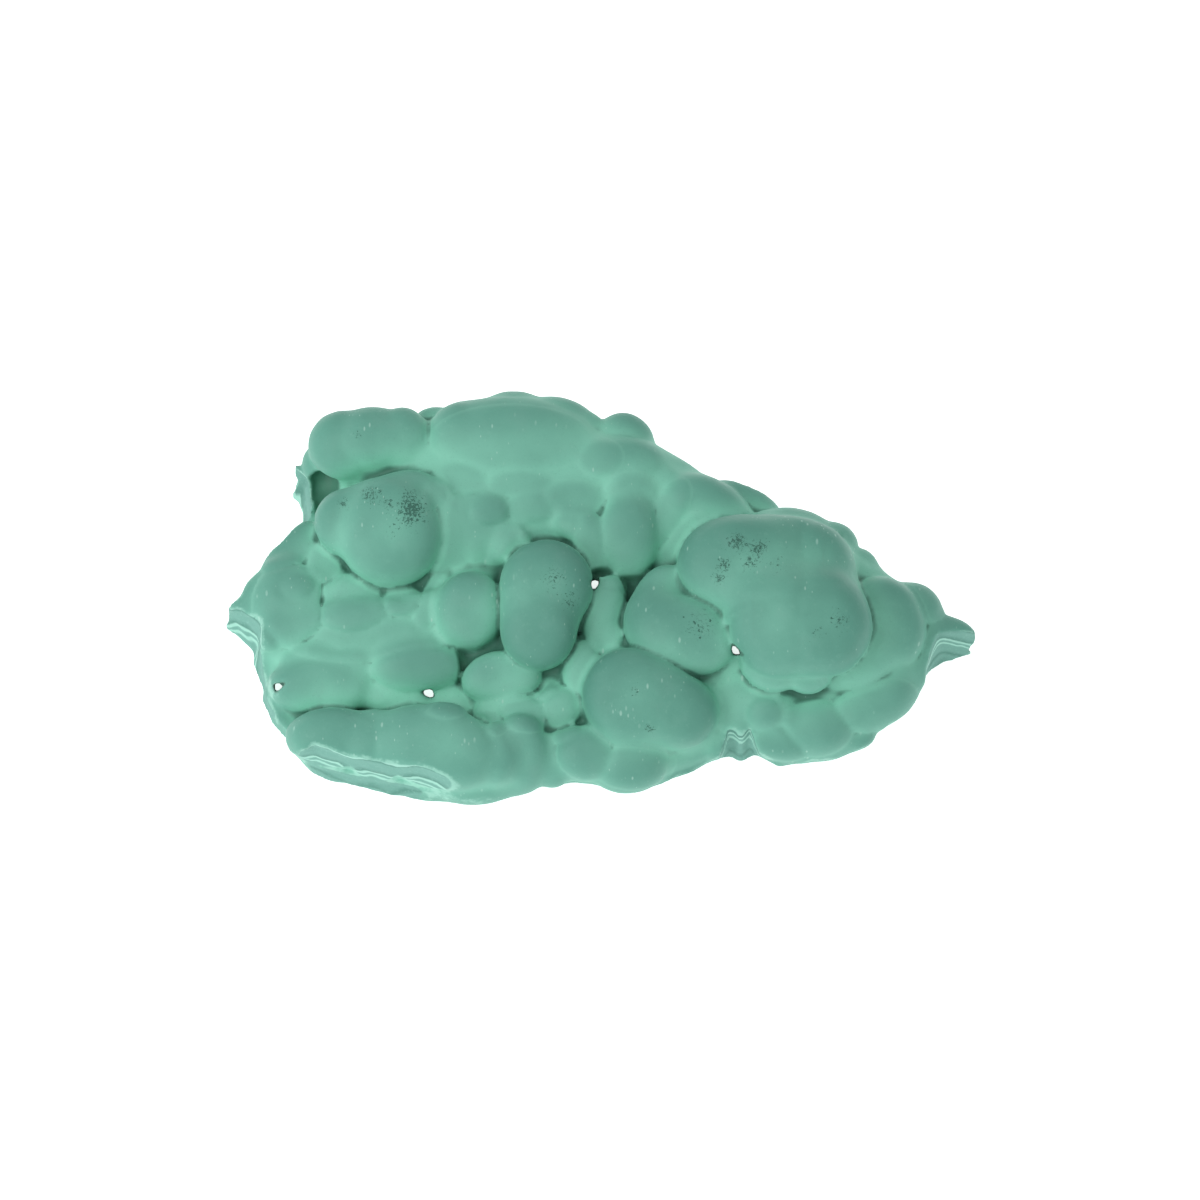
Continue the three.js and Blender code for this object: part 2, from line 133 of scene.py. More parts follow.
FRONT_DOMES = [
    [-44.2, -23.0, 12.4, 8.0, 5.1, -2],
    [-27.0, -24.6, 13.8, 11.2, 6.9, -14],
    [-36.8, -25.2, 12.2, 5.0, 5.4, -8],
    [-37.4, -22.4, 12.2, 5.0, 4.2, 0],
]
BACK_RIDGE = [
    [-42.6, 25.9, 17.2, 6.3, 5.8, 0],
    [-38.0, 26.8, 18.3, 7.5, 5.6, 0],
    [-33.4, 26.8, 18.0, 5.2, 5.4, 0],
    [-14.2, 27.5, 19.8, 14.2, 6.6, -2],
    [-23.2, 27.4, 18.8, 5.6, 5.6, 0],
    [-21.7, 28.8, 17.4, 6.4, 4.6, 0],
    [-14.4, 30.9, 17.6, 6.2, 4.1, 0],
    [-7.0, 29.7, 17.8, 6.6, 4.3, -12],
    [-2.8, 28.4, 16.4, 3.7, 3.2, 0],
    [3.8, 25.9, 16.3, 5.4, 5.4, 0],
    [-46.2, 23.2, 11.0, 3.8, 3.4, 30],
    [4.2, 21.7, 18.6, 7.5, 5.6, 0],
    [10.6, 18.5, 16.6, 4.5, 3.9, -30],
    [18.2, 15.5, 17.7, 8.2, 4.7, -28],
    [24.1, 15.7, 13.3, 6.7, 3.7, -26],
    [32.2, 10.8, 16.9, 7.8, 4.5, -10],
    [38.6, 8.7, 15.3, 4.5, 4.3, 0],
    [42.8, 5.0, 13.3, 3.5, 3.7, -40],
    [-27.6, 29.8, 14.2, 3.6, 2.6, 0],
]
BACK_FOOT = [
    [-40.0, 22.0, 10.5, 8.5, 6.0, 0],
    [-24.0, 23.5, 10.5, 9.0, 6.5, 0],
    [-8.0, 24.5, 11.0, 9.5, 6.5, 0],
    [6.0, 20.0, 10.0, 7.5, 6.5, -20],
    [17.0, 13.5, 10.0, 8.0, 6.0, -28],
    [28.0, 8.5, 10.0, 8.0, 5.5, -25],
    [38.0, 4.0, 9.5, 7.0, 5.5, -30],
    [47.0, -2.0, 9.0, 6.0, 5.0, -35],
]
RIGHT_SIDE = [
    [51.7, -2.6, 12.5, 5.3, 4.9, -35],
    [56.4, -6.0, 9.4, 3.4, 3.4, 0],
    [58.9, -6.5, 8.8, 4.4, 3.4, -24],
    [55.0, -8.8, 10.0, 4.4, 5.0, -20],
    [47.0, -14.2, 10.6, 5.6, 6.0, -35],
    [51.0, -12.5, 9.3, 3.2, 3.4, 0],
    [41.5, -17.0, 9.6, 6.0, 4.2, -12],
    [36.5, -15.4, 10.4, 4.0, 2.6, 0],
    [36.7, -20.8, 9.0, 6.0, 5.0, 0],
    [42.0, -22.3, 6.4, 3.8, 2.8, -15],
    [34.5, -23.2, 6.0, 7.5, 4.0, -3],
    [27.0, -17.3, 11.0, 8.0, 6.0, -10],
    [28.5, -18.3, 11.6, 3.4, 3.2, 0],
    [29.0, -23.0, 7.6, 7.0, 3.8, -8],
    [22.6, -23.0, 8.0, 5.4, 5.0, 4],
]
FRONT_EDGE = [
    [-2.5, -25.6, 10.0, 5.4, 4.6, 0],
    [4.4, -27.1, 9.2, 6.5, 5.1, 0],
    [10.6, -25.2, 6.4, 5.4, 4.0, 22],
    [14.6, -24.2, 5.8, 5.2, 3.6, 25],
    [-13.0, -25.5, 10.6, 4.8, 5.9, 10],
    [-8.0, -26.6, 8.4, 4.0, 4.6, 0],
    [-26.2, -20.5, 14.6, 4.8, 3.2, -5],
    [-21.9, -29.9, 7.4, 8.0, 4.1, -5],
    [-17.0, -26.0, 11.6, 4.6, 5.0, 0],
    [-14.5, -28.4, 7.4, 5.4, 4.2, 8],
]
VALLEY = [
    [-46.5, -14.3, 10.0, 9.0, 5.0, 0],
    [-41.3, -12.0, 9.6, 4.6, 3.4, 0],
    [-42.8, -15.8, 9.0, 4.0, 2.8, 10],
    [-48.3, -10.4, 9.4, 5.0, 2.8, 0],
    [-31.0, -11.3, 10.7, 8.2, 4.8, 3],
    [-34.2, -16.5, 7.8, 6.8, 3.2, -5],
    [-25.5, -15.7, 6.9, 3.0, 2.2, 30],
    [-14.2, -18.7, 8.8, 7.0, 3.8, -10],
    [-22.5, -17.5, 6.7, 2.8, 2.4, 0],
    [-6.2, -18.2, 9.2, 4.2, 3.7, 0],
    [-7.8, -13.3, 8.4, 3.4, 3.0, 0],
    [0.0, -3.4, 12.0, 4.4, 8.0, -12],
    [-2.8, -13.0, 10.6, 4.2, 6.0, -5],
    [20.0, -13.8, 11.5, 4.2, 3.4, -35],
    [4.4, -8.4, 11.6, 3.2, 3.2, 0],
    [22.8, -11.6, 13.0, 2.8, 2.6, 0],
]
LEFT_SHELF = [
    [-40.5, -0.2, 10.7, 5.2, 4.6, 0],
    [-45.7, 5.3, 10.7, 3.3, 4.2, 10],
    [-52.0, -0.4, 10.6, 7.4, 6.6, 20],
    [-51.2, 0.9, 11.4, 4.4, 4.2, 0],
    [-56.2, -2.4, 8.4, 3.4, 3.0, 0],
    [-51.0, 7.6, 9.4, 6.8, 4.8, 35],
    [-33.7, -0.5, 10.6, 4.4, 3.6, 0],
    [-37.0, -5.0, 11.6, 13.0, 4.9, -2],
    [-28.7, -3.7, 11.2, 4.2, 4.6, 0],
    [-50.0, -6.6, 9.3, 7.6, 4.4, -10],
]
PLATEAU = [
    [-20.8, 12.5, 15.9, 6.6, 5.6, 0],
    [-27.4, 12.6, 16.6, 4.6, 7.0, 0],
    [-18.6, 14.5, 16.4, 3.4, 3.2, 0],
    [-10.5, 15.5, 16.7, 4.4, 3.7, 0],
    [-4.2, 17.0, 16.8, 4.8, 3.0, -5],
    [-5.3, 12.8, 16.2, 2.2, 2.2, 0],
    [0.0, 22.7, 17.2, 2.8, 2.8, 0],
    [5.0, 17.2, 16.9, 3.9, 3.8, 0],
    [4.7, 10.0, 16.0, 4.9, 6.8, 0],
    [-1.7, 9.2, 15.4, 3.4, 5.8, 10],
    [-15.0, 9.2, 15.2, 2.8, 3.4, -30],
    [-23.0, 20.8, 14.6, 4.2, 3.0, -10],
]
LIP = [
    [-49.9, 20.4, 7.2, 2.8, 1.6, -42],
    [-48.6, 17.6, 7.0, 3.2, 1.6, -68],
    [-48.8, 14.7, 7.0, 3.0, 1.5, 48],
]
# Scooped hollows: behind the lip, beside a small dome in the valley, and by the first gap.
HOLLOWS = [
    [-46.2, 19.6, 9.6, 2.4, 3.8, -12],
    [-46.0, 16.2, 8.6, 1.7, 2.2, 0],
    [-22.8, -11.2, 9.6, 1.3, 2.8, 8],
    [-0.4, 3.9, 13.6, 2.2, 1.2, 10],
    [4.6, 2.8, 12.6, 3.6, 0.9, 4],
]
# Crowds of lumps: rows, fullness, flatness, easing between its own lumps, easing against the rest.
LOW_CROWDS = [
    (BEDS, 0.42, 2.6, 3.0, 2.0),
    (BACK_FOOT, 0.9, 2.0, 1.0, 1.0),
    (BACK_RIDGE, 0.9, 2.6, 0.5, 1.2),
    (RIGHT_SIDE, 0.9, 2.6, 1.6, 1.4),
    (FRONT_EDGE, 0.9, 2.6, 1.2, 1.6),
    (VALLEY, 0.9, 2.8, 1.4, 1.2),
    (LIP, 0.9, 2.0, 0.6, 0.8),
    (LEFT_SHELF, 0.6, 2.6, 1.2, 1.6),
    (PLATEAU, 0.6, 2.6, 1.4, 1.8),
]
# The same for the tall domes, and how much greyer and darker the skin of each is painted.
TALL_CROWDS = [
    (FRONT_DOMES, 1.0, 3.2, 1.2, 0.7, 0.0),
    (SMALL_DOMES, 1.0, 3.4, 0.5, 0.5, 0.2),
    (SOFT_DOME, 1.0, 3.2, 0.5, 1.8, 0.2),
    (TWIN_DOMES, 1.0, 3.4, 3.0, 1.8, 1.2),
    (DOME_BESIDE, 1.0, 3.3, 2.6, 0.5, 0.9),
    (MIDDLE_DOME, 1.0, 3.2, 2.0, 0.5, 0.7),
    (LEFT_DOME, 1.0, 3.3, 1.4, 0.6, 0.3),
    (BIG_DOME, 1.0, 3.3, 5.0, 0.9, 0.9),
    (DOME_LEDGE, 1.0, 3.4, 0.6, 0.4, 0.7),
    (RIGHT_DOMES, 1.0, 3.6, 1.4, 0.4, 0.5),
]
# Depth of the seam where two cushions meet.
SEAM = 0.22
DOME_SEAM = 0.12
# Flat cushions in the skin: across, up, swell, half length, half width, turn in degrees.
CUSHIONS = [
    [-23.3, 20.3, 0.5, 4.8, 3.0, -10], [-21.3, 12.5, 0.6, 6.7, 6.7, 0],
    [-18.8, 14.7, 0.9, 3.9, 3.3, 0], [-11.2, 15.2, 0.4, 4.9, 4.0, 0],
    [-4.7, 16.7, 0.5, 5.9, 3.4, -3], [-5.3, 12.5, 0.4, 2.8, 2.5, 0],
    [-1.7, 10.0, 0.5, 3.1, 5.7, 6], [5.0, 11.7, 0.8, 5.2, 8.3, 0], [5.3, 17.2, 0.4, 4.8, 4.3, 0],
    [0.0, 23.8, 0.4, 3.9, 3.4, 0], [-17.2, 9.2, 0.4, 2.8, 4.0, -35],
    [-26.7, 5.0, 0.4, 2.1, 1.7, 0], [-52.0, 8.7, 0.9, 5.9, 3.6, 40],
    [-45.8, 6.3, 0.9, 3.3, 4.3, 5], [-51.7, -0.8, 1.4, 6.4, 7.3, 0],
    [-50.8, 1.7, 1.5, 4.3, 3.6, 0], [-41.3, -0.8, 1.2, 6.6, 5.9, 0],
    [-33.3, 0.0, 1.1, 4.0, 2.9, 0], [-28.3, -0.8, 0.8, 2.3, 6.9, -20],
    [-37.5, -6.7, 0.8, 14.8, 3.6, 3], [-30.0, -11.3, 1.1, 8.3, 4.0, 3],
    [-12.5, -18.7, 0.8, 5.2, 3.2, -10], [-6.7, -18.0, 0.8, 3.8, 3.8, 0],
    [-2.8, -10.8, 1.1, 3.6, 5.2, -5], [0.7, -3.3, 1.4, 4.0, 6.4, -8],
    [-9.2, -15.0, 0.7, 3.0, 2.3, 0], [1.7, 2.5, 0.7, 2.9, 1.7, 0],
    [-2.0, -25.3, 0.9, 5.3, 4.8, 0],
    [5.6, -26.8, 0.8, 7.2, 4.8, 3], [-25.8, -18.3, 0.8, 4.3, 1.7, 0],
    [53.3, 0.0, 0.8, 5.0, 4.3, 0], [24.2, -17.5, 0.8, 6.4, 5.5, 0],
    [26.7, -18.7, 1.1, 3.6, 3.6, 0], [35.8, -21.3, 1.1, 6.3, 4.8, 0],
    [45.8, -17.5, 1.1, 7.6, 4.3, 15], [-24.0, 8.5, 0.4, 3.2, 5.2, -30],
    [-13.5, 19.5, 0.4, 6.0, 2.6, 0], [-9.5, 11.0, 0.4, 4.0, 3.0, 0],
    [-55.6, -5.2, 0.8, 3.6, 3.4, -30], [-18.6, -20.2, 0.7, 3.4, 2.2, -20],
    [2.8, -22.6, 0.7, 3.4, 2.2, -25], [-5.0, -22.4, 0.7, 3.0, 1.8, 10],
    [30.6, -23.6, 0.8, 5.0, 3.2, -8], [11.0, 14.2, 0.4, 3.0, 7.0, -28],
    [13.6, 8.6, 0.4, 3.4, 7.0, -32], [-14.8, 26.8, 0.5, 13.8, 6.0, 0],
]
# Flatter ones on the domes.
DOME_CUSHIONS = [
    [-43.6, -22.8, 0.7, 7.6, 4.9, 0], [-26.2, -24.7, 0.8, 12.3, 6.9, -14],
    [-27.7, 17.2, 0.4, 2.1, 1.9, 0],
    [24.2, 6.7, 0.5, 11.6, 8.6, 0],
    [38.3, -5.8, 0.4, 7.1, 9.0, 0], [37.5, 7.5, 0.4, 5.6, 6.0, -35],
    [27.5, -5.8, 0.4, 7.8, 7.8, 0], [15.0, -19.2, 0.4, 6.4, 6.4, 0],
    [5.3, -15.0, 0.4, 8.6, 7.5, 0],
]

# The break round the rim: across, up, and the height at which its edge is seen there.
RIM = [
    [-62.6, -3.8, 2], [-60.2, -2.0, 3], [-58.9, 1.4, 6.5], [-56.7, 4.5, 9], [-55.5, 6.9, 9],
    [-52.4, 9.3, 9], [-49.3, 12.4, 8], [-49.0, 16.0, 4], [-49.8, 18.2, 3], [-51.8, 20.0, 3],
    [-52.0, 22.5, 5], [-50.7, 25.3, 8], [-47.5, 28.8, 12], [-43.0, 32.0, 14], [-30.0, 31.9, 13],
    [-22.0, 33.3, 14], [-14.7, 34.7, 14], [-5.0, 33.3, 14], [0.0, 30.4, 13], [3.5, 31.8, 12],
    [8.3, 28.9, 12], [10.2, 25.3, 12], [16.2, 21.5, 12], [30.0, 15.6, 10], [37.0, 14.0, 11],
    [42.5, 9.8, 10], [46.3, 5.5, 9], [52.0, 3.0, 8], [57.3, -2.2, 6], [59.7, -3.8, 5],
    [61.6, -5.0, 4], [62.6, -6.6, 3], [61.9, -8.4, 1], [60.4, -9.5, 0], [57.6, -10.5, 0],
    [55.0, -11.9, 0], [53.3, -14.4, 0], [52.3, -17.1, 0], [49.4, -20.4, 0], [46.6, -21.6, 0],
    [44.8, -23.7, 0], [42.7, -25.1, 0], [39.7, -26.5, 0], [35.3, -26.8, 0], [31.0, -27.8, 0],
    [26.2, -25.7, 0], [23.5, -26.9, 0], [21.5, -25.9, 0], [18.0, -26.8, 0], [15.0, -28.4, 0],
    [11.5, -29.8, 0], [8.0, -31.6, 0], [4.0, -33.4, 0], [0.0, -34.0, 0], [-4.2, -33.6, 0],
    [-9.2, -34.2, 0], [-15.8, -34.9, 0], [-21.7, -35.4, 0], [-26.0, -34.2, 0], [-30.0, -33.0, 0],
    [-33.0, -32.4, 0], [-36.7, -31.8, 0], [-43.0, -30.3, 0], [-46.4, -29.4, 0], [-48.8, -27.5, 0.4],
    [-50.7, -25.4, 1.5], [-52.4, -23.3, 3], [-54.3, -20.2, 1.5], [-56.0, -17.4, 0],
    [-56.0, -15.0, 0], [-57.5, -10.7, 0], [-57.7, -8.7, 0], [-60.3, -6.2, 0],
]
# The flat ground in plan.
GROUND_PLAN = [
    [-65, 0], [-56, 6], [-51.5, 12.5], [-54, 20.5], [-49.5, 27], [-36, 30], [-14, 33], [-2, 31],
    [6, 27], [18, 19], [34, 11], [47, 1], [57, -3], [63.5, -5.8], [61.3, -8.4], [56, -8.6],
    [51, -12], [44, -18], [40, -20], [31, -26], [24, -29], [16, -28.2], [8, -30.2], [3, -30.4],
    [-4, -29.5], [-16, -30.5], [-24, -32.5], [-31, -33.0], [-36, -34], [-42, -34], [-47, -30],
    [-51.5, -22], [-58, -15], [-62, -10],
]
# Little gaps right through the stone, each by its corners as seen: across, up.
GAPS = [
    [[-1.5, 3.1], [-0.2, 3.1], [-1.0, 1.8]],
    [[22.0, -7.4], [23.6, -9.1], [22.1, -8.7]],
    [[-29.6, -15.3], [-28.1, -15.0], [-27.7, -16.1], [-28.6, -16.0]],
    [[-54.1, -14.1], [-52.5, -13.9], [-53.9, -15.2]],
]
GAP_WIDER = 0.2
# Places where the skin is pitted dark: across, up, radius, strength.
PITTED = [
    [-38.0, 17.8, 2.4, 0.9], [-31.5, 17.6, 1.8, 0.9], [-35.2, 16.2, 1.7, 0.8],
    [-31.4, 15.0, 3.2, 1.1], [-42.8, 16.2, 1.3, 0.9], [-34.2, 11.7, 1.9, 0.6],
    [22.8, 9.5, 2.2, 1.0], [26.2, 8.7, 2.0, 1.0], [20.3, 5.8, 1.6, 1.0], [19.7, 3.8, 1.4, 1.0],
    [25.0, 6.3, 2.0, 0.8], [16.7, -4.2, 3.4, 0.7], [-7.5, 3.5, 2.8, 0.7], [-5.0, 0.0, 2.2, 0.7],
    [8.3, -21.2, 1.2, 0.9], [5.8, -15.0, 1.6, 0.6], [39.7, -3.3, 2.4, 0.7],
    [35.8, -5.3, 1.8, 0.6], [-40.6, 27.4, 1.0, 0.8], [29.4, 6.0, 2.4, 0.6],
]


def placed(right, up, height):
    """Where a point seen at (right, up) lies when its height is known."""
    back = (up - (height - EYE_LEVEL) * math.cos(EYE_RISE)) / math.sin(EYE_RISE)
    return np.array([right + SHIFT_X, back + SHIFT_Y, height])


def eased(a, b, ease):
    """The nearer of two distances, with the crease between them eased."""
    near = np.maximum(ease - np.abs(a - b), 0.0) / ease
    return np.minimum(a, b) - near * near * ease * 0.25


def eased_max(a, b, ease):
    """The farther of two distances, eased the same way."""
    return -eased(-a, -b, ease)


def rising(value, start, over):
    """0 up to a start, then a straight climb to 1 over a length."""
    return np.clip((value - start) / over, 0, 1)


def smooth_ring(points, steps):
    """A closed smooth curve through points in plan."""
    p = np.array(points, float)
    before, after, beyond = np.roll(p, 1, 0), np.roll(p, -1, 0), np.roll(p, -2, 0)
    t = (np.arange(steps) / steps)[None, :, None]
    lead = 0.4 * (after - before)[:, None]
    trail = 0.4 * (beyond - p)[:, None]
    start, end = p[:, None], after[:, None]
    ring = (start * (2 * t**3 - 3 * t**2 + 1) + lead * (t**3 - 2 * t**2 + t)
            + end * (3 * t**2 - 2 * t**3) + trail * (t**3 - t**2))
    return ring.reshape(-1, 2)


def ring_distance(ring, x, y):
    """Distance to a closed outline in plan, negative inside."""
    best = np.full(x.shape, 1e9)
    inside = np.zeros(x.shape, bool)
    for (ax, ay), (bx, by) in zip(ring, np.roll(ring, -1, 0)):
        ex, ey = bx - ax, by - ay
        t = np.clip(((x - ax) * ex + (y - ay) * ey) / (ex * ex + ey * ey), 0, 1)
        best = np.minimum(best, (x - ax - t * ex) ** 2 + (y - ay - t * ey) ** 2)
        crosses = (ay > y) != (by > y)
        inside ^= crosses & (x < ax + (y - ay) * ex / (ey if ey else 1e-9))
    return np.where(inside, -1, 1) * np.sqrt(best)


def mottle(x, y, z, size, seed):
    """Soft seeded noise from -1 to 1 with lumps of about the given size."""
    rng = np.random.default_rng(seed)
    table = rng.uniform(-1, 1, (32, 32, 32)).astype(np.float32)
    total = 0.0
    cells, parts = [], []
    for value in (x, y, z):
        scaled = value / size + 1000.0
        whole = np.floor(scaled)
        part = (scaled - whole).astype(np.float32)
        cells.append(whole.astype(np.int64) & 31)
        parts.append(part * part * (3 - 2 * part))
    for i, j, k in CUBE_CORNERS:
        weight = ((parts[0] if i else 1 - parts[0]) * (parts[1] if j else 1 - parts[1])
                  * (parts[2] if k else 1 - parts[2]))
        total = total + weight * table[(cells[0] + i) & 31, (cells[1] + j) & 31,
                                       (cells[2] + k) & 31]
    return total


def grained(x, y, z, grains):
    """Soft noises of several sizes added up."""
    return sum(strength * mottle(x, y, z, size, seed) for strength, size, seed in grains)


class StoneField:
    """Distances to the growth surface and to the breaks on a fine block of points."""

    STEP = 0.52
    LOW = np.array([-65.0, -38.0, -1.5])
    HIGH = np.array([65.0, 38.0, 31.5])
    # A distance at which a lump no longer matters.
    FAR = 4.0
    # Cells of the view from the eye.
    SEEN_CELL = 0.62
    SEEN_CELLS = (240, 150)
    SEEN_LOW = (-66, -41)

    def __init__(self):
        self.axes = [np.arange(a, b, self.STEP) for a, b in zip(self.LOW, self.HIGH)]
        self.shape = tuple(len(axis) for axis in self.axes)
        self.x, self.y, self.z = np.meshgrid(*self.axes, indexing="ij", sparse=True)
        self.growth = self.grown()
        self.stone = self.broken(self.growth)

    def empty(self):
        """A block with nothing in it yet."""
        return np.full(self.shape, self.FAR)

    def lump(self, field, row, fullness, flatness, ease):
        """Adds one flattened ball that faces the eye to a field of distances."""
        right, up, crown, half_length, half_width, turn = row
        size = math.sqrt(half_length * half_width)
        depth = min(fullness * size, 1.15 * min(half_length, half_width))
        middle = placed(right, up, crown - depth * math.sin(EYE_RISE))
        c, s = math.cos(math.radians(turn)), math.sin(math.radians(turn))
        along = c * np.array([1.0, 0, 0]) + s * SEEN_UP
        athwart = -s * np.array([1.0, 0, 0]) + c * SEEN_UP
        radii = (half_length, half_width, depth)
        ways = (along, athwart, TO_EYE)
        reach = np.sqrt(sum((r * d) ** 2 for r, d in zip(radii, ways))) + self.FAR
        spans = []
        for axis, low, high in zip(self.axes, middle - reach, middle + reach):
            spans.append(slice(np.searchsorted(axis, low), np.searchsorted(axis, high)))
        spans = tuple(spans)
        dx = self.axes[0][spans[0]][:, None, None] - middle[0]
        dy = self.axes[1][spans[1]][None, :, None] - middle[1]
        dz = self.axes[2][spans[2]][None, None, :] - middle[2]
        one, two, out = ((dx * d[0] + dy * d[1] + dz * d[2]) / radius
                         for radius, d in zip(radii, ways))
        flat = np.sqrt(one * one + two * two) + 1e-6
        out = np.abs(out) + 1e-6
        near = (flat ** flatness + out ** flatness) ** (1 / flatness)
        steep = (flat ** (2 * flatness - 4) * ((one / half_length) ** 2 + (two / half_width) ** 2)
                 + out ** (2 * flatness - 2) / depth ** 2)
        steep = np.sqrt(steep) * near ** (1 - flatness)
        distance = (near - 1) / np.maximum(steep, 1e-6)
        field[spans] = eased(field[spans], distance, ease)

    def grown(self):
        """Distance to the skin as it grew, before anything broke off."""
        body = self.empty()
        for rows, fullness, *_ in TALL_CROWDS:
            for right, up, crown, half_length, half_width, turn in rows:
                stem = [right, up - 1, crown - STEM_DROP, half_length * STEM_SHARE,
                        half_width * STEM_SHARE, turn]
                self.lump(body, stem, fullness, 2.0, 1.0)
        for crowd in LOW_CROWDS:
            body = self.with_crowd(body, *crowd)
        plan = smooth_ring([[px + SHIFT_X, py + SHIFT_Y] for px, py in GROUND_PLAN], 3)
        plan_x, plan_y = np.broadcast_arrays(self.x[:, :, 0], self.y[:, :, 0])
        beyond = ring_distance(plan, plan_x, plan_y)[:, :, None]
        dip = FRONT_DIP * (rising(self.x, -2.0, 4.0) * rising(-self.y, 20.0, 3.0))
        dip = dip + TIP_DIP * rising(-self.x, 53.0, 6.0)
        body = eased(body, np.maximum(beyond, self.z - GROUND + dip), 1.0)
        self.scoop = self.with_crowd(self.empty(), HOLLOWS, 0.9, 2.0, 0.6, 0.6)
        body = eased_max(body, -self.scoop, 0.8)
        rise, caps = self.swelling(body, CUSHIONS, SEAM)
        body = body - rise
        dome = self.empty()
        self.worn = np.zeros(self.shape)
        for *crowd, worn in TALL_CROWDS:
            alone = self.with_crowd(self.empty(), *crowd)
            body = eased(body, alone, crowd[-1])
            dome = np.minimum(dome, alone)
            self.worn = np.maximum(self.worn, worn * np.clip(1 - alone / 1.2, 0, 1))
        self.caps = caps * rising(dome, 0.7, 0.8)
        rise, _ = self.swelling(body, DOME_CUSHIONS, DOME_SEAM)
        return body - rise

    def with_crowd(self, body, rows, fullness, flatness, ease_within, ease_out):
        """A block with a crowd of lumps added to it."""
        crowd = self.empty()
        for row in rows:
            self.lump(crowd, row, fullness, flatness, ease_within)
        return eased(body, crowd, ease_out)

    def swelling(self, body, cushions, seam_depth):
        """How far flat cushions swell out of the lumps that face the eye, and where they are."""
        right, up, out = np.broadcast_arrays(
            self.x - SHIFT_X,
            (self.y - SHIFT_Y) * SEEN_UP[1] + (self.z - EYE_LEVEL) * SEEN_UP[2],
            (self.y - SHIFT_Y) * TO_EYE[1] + (self.z - EYE_LEVEL) * TO_EYE[2])
        front = np.full(self.SEEN_CELLS, -99.0)
        solid = body < 0
        np.maximum.at(front, self.seen_cell(right[solid], up[solid]), out[solid])
        shown = rising(out - front[self.seen_cell(right, up)], -4.0, 2.0)
        rise = np.zeros(self.shape)
        caps = np.zeros(self.shape)
        next_rise = np.zeros(self.shape)
        for across, height, swell, half_length, half_width, turn in cushions:
            reach = max(half_length, half_width)
            span = slice(*np.searchsorted(self.axes[0], [across - reach, across + reach]))
            c, s = math.cos(math.radians(turn)), math.sin(math.radians(turn))
            dr, du = right[span] - across, up[span] - height
            off = np.hypot((c * dr + s * du) / half_length, (c * du - s * dr) / half_width)
            share = np.maximum(1 - np.minimum(off, 1) ** 2.6, 0) ** 0.6
            caps[span] = np.maximum(caps[span], share)
            cushion = swell * share
            next_rise[span] = np.maximum(next_rise[span], np.minimum(rise[span], cushion))
            rise[span] = np.maximum(rise[span], cushion)
        seam = np.exp(-((rise - next_rise) / 0.22) ** 2) * np.clip(next_rise / 0.5, 0, 1)
        return (rise - seam_depth * seam) * shown, caps * shown

    def seen_cell(self, right, up):
        """Cell of the view from the eye that holds each point."""
        return tuple(np.clip((value - low) / self.SEEN_CELL, 0, count - 1).astype(int)
                     for value, low, count in zip((right, up), self.SEEN_LOW, self.SEEN_CELLS))

    def broken(self, growth):
        """Distance to the stone as it is now, broken off round its rim and underneath."""
        x, y, z = self.x, self.y, self.z
        ring = smooth_ring([placed(*row)[:2] for row in RIM], 4)
        plan_x, plan_y = np.broadcast_arrays(x[:, :, 0], y[:, :, 0])
        rim = ring_distance(ring, plan_x, plan_y)[:, :, None] - 0.3 + 0 * z
        left = rising(-x, 46.0, 6.0) * rising(-y, -4.0, 8.0) * rising(y, -24.0, 5.0)
        lip = (rising(-x, 45.0, 2.0) * rising(y, 15.5, 2.0) * rising(-y, -28.0, 2.0)
               * rising(-z, -8.5, 2.5))
        notch = rising(-np.abs(x - 23.2), -3.2, 1.2) * rising(-y, 20.0, 3.0)
        fan = rising(x, 52.5, 5.0) * rising(-y, 6.0, 2.0)
        tucked = (rising(x, 1.0, 4.0) * rising(-x, -58.5, 2.0) * rising(-y, 5.0, 2.0)
                  * (1 - notch) * (1 - fan))
        tucked = tucked + rising(-x, 47.0, 5.0) * rising(-y, 22.0, 2.0)
        rim = rim + LEFT_LEAN * left * z + (LIP_LEAN * z - LIP_OUT) * lip
        rim = rim + (NOTCH_LEAN * notch + FAN_LEAN * fan - TUCK * tucked) * z
        rim = rim + grained(x, y, z, BREAK_GRAIN)
        rim = rim + 0.10 * np.sin(growth * 3.0 + 2 * mottle(x, y, z, 5.0, 7))
        self.rim = rim
        self.chipped = np.maximum(notch, fan) + 0 * z
        under = np.maximum(0.45 * grained(x, y, 0 * z, UNDER_GRAIN), 0.0) - z
        skin = growth + grained(x, y, z, SKIN_GRAIN)
        stone = -eased(-eased_max(skin, rim, 0.35), -under, 0.5)
        seen_right, seen_up = np.broadcast_arrays(
            x - SHIFT_X, (y - SHIFT_Y) * SEEN_UP[1] + (z - EYE_LEVEL) * SEEN_UP[2])
        for corners in GAPS:
            middle, reach = np.mean(corners, 0), 3.0
            near = (np.abs(seen_right - middle[0]) < reach) & (np.abs(seen_up - middle[1]) < reach)
            gap = ring_distance(np.array(corners), seen_right[near], seen_up[near]) - GAP_WIDER
            stone[near] = eased_max(stone[near], -gap, 0.25)
        return unpinched(stone)

